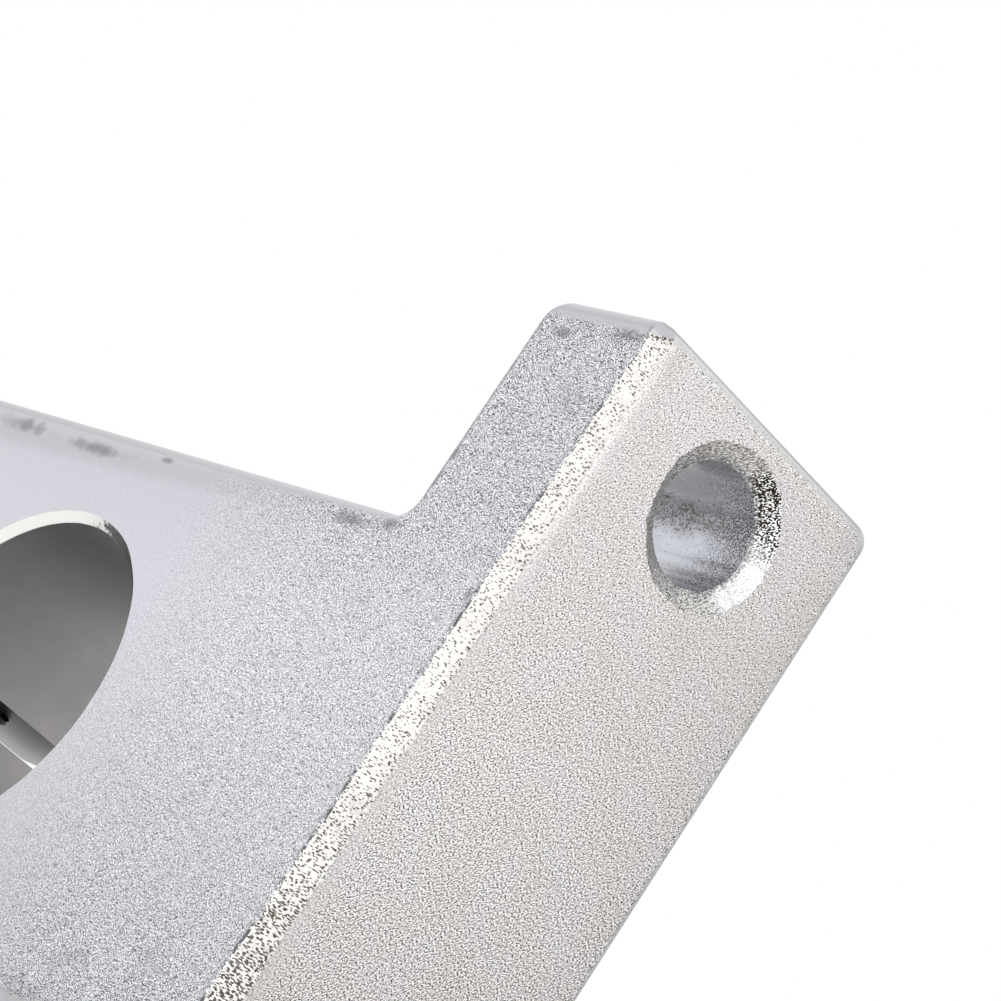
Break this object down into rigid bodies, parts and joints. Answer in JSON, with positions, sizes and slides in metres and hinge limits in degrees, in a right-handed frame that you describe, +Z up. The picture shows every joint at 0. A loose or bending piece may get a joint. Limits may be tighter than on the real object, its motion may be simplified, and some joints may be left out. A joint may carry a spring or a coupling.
{
  "type": "linear shaft support",
  "caption": "Upright shaft support block: a split bore over a flat base with bolted ears, clamped round the end of a fixed linear shaft by a socket head cap screw.",
  "frame": {"origin": "middle of the underside of the base, straight below the shaft", "axes": "+Z up from the mounting surface, +Y along the shaft, +X along the base; the screw's head is on the -X side and the bevelled lower edge on the -Y face"},
  "size_m": [0.048, 0.016, 0.044],
  "materials": {
    "blasted_aluminium": "cast, blasted and tumbled, with bare machined bore and holes",
    "blackened_steel": "black oxide"
  },
  "bodies": {
    "root": {"support_block": "blasted_aluminium", "clamp_screw": "blackened_steel"}
  },
  "joints": []
}
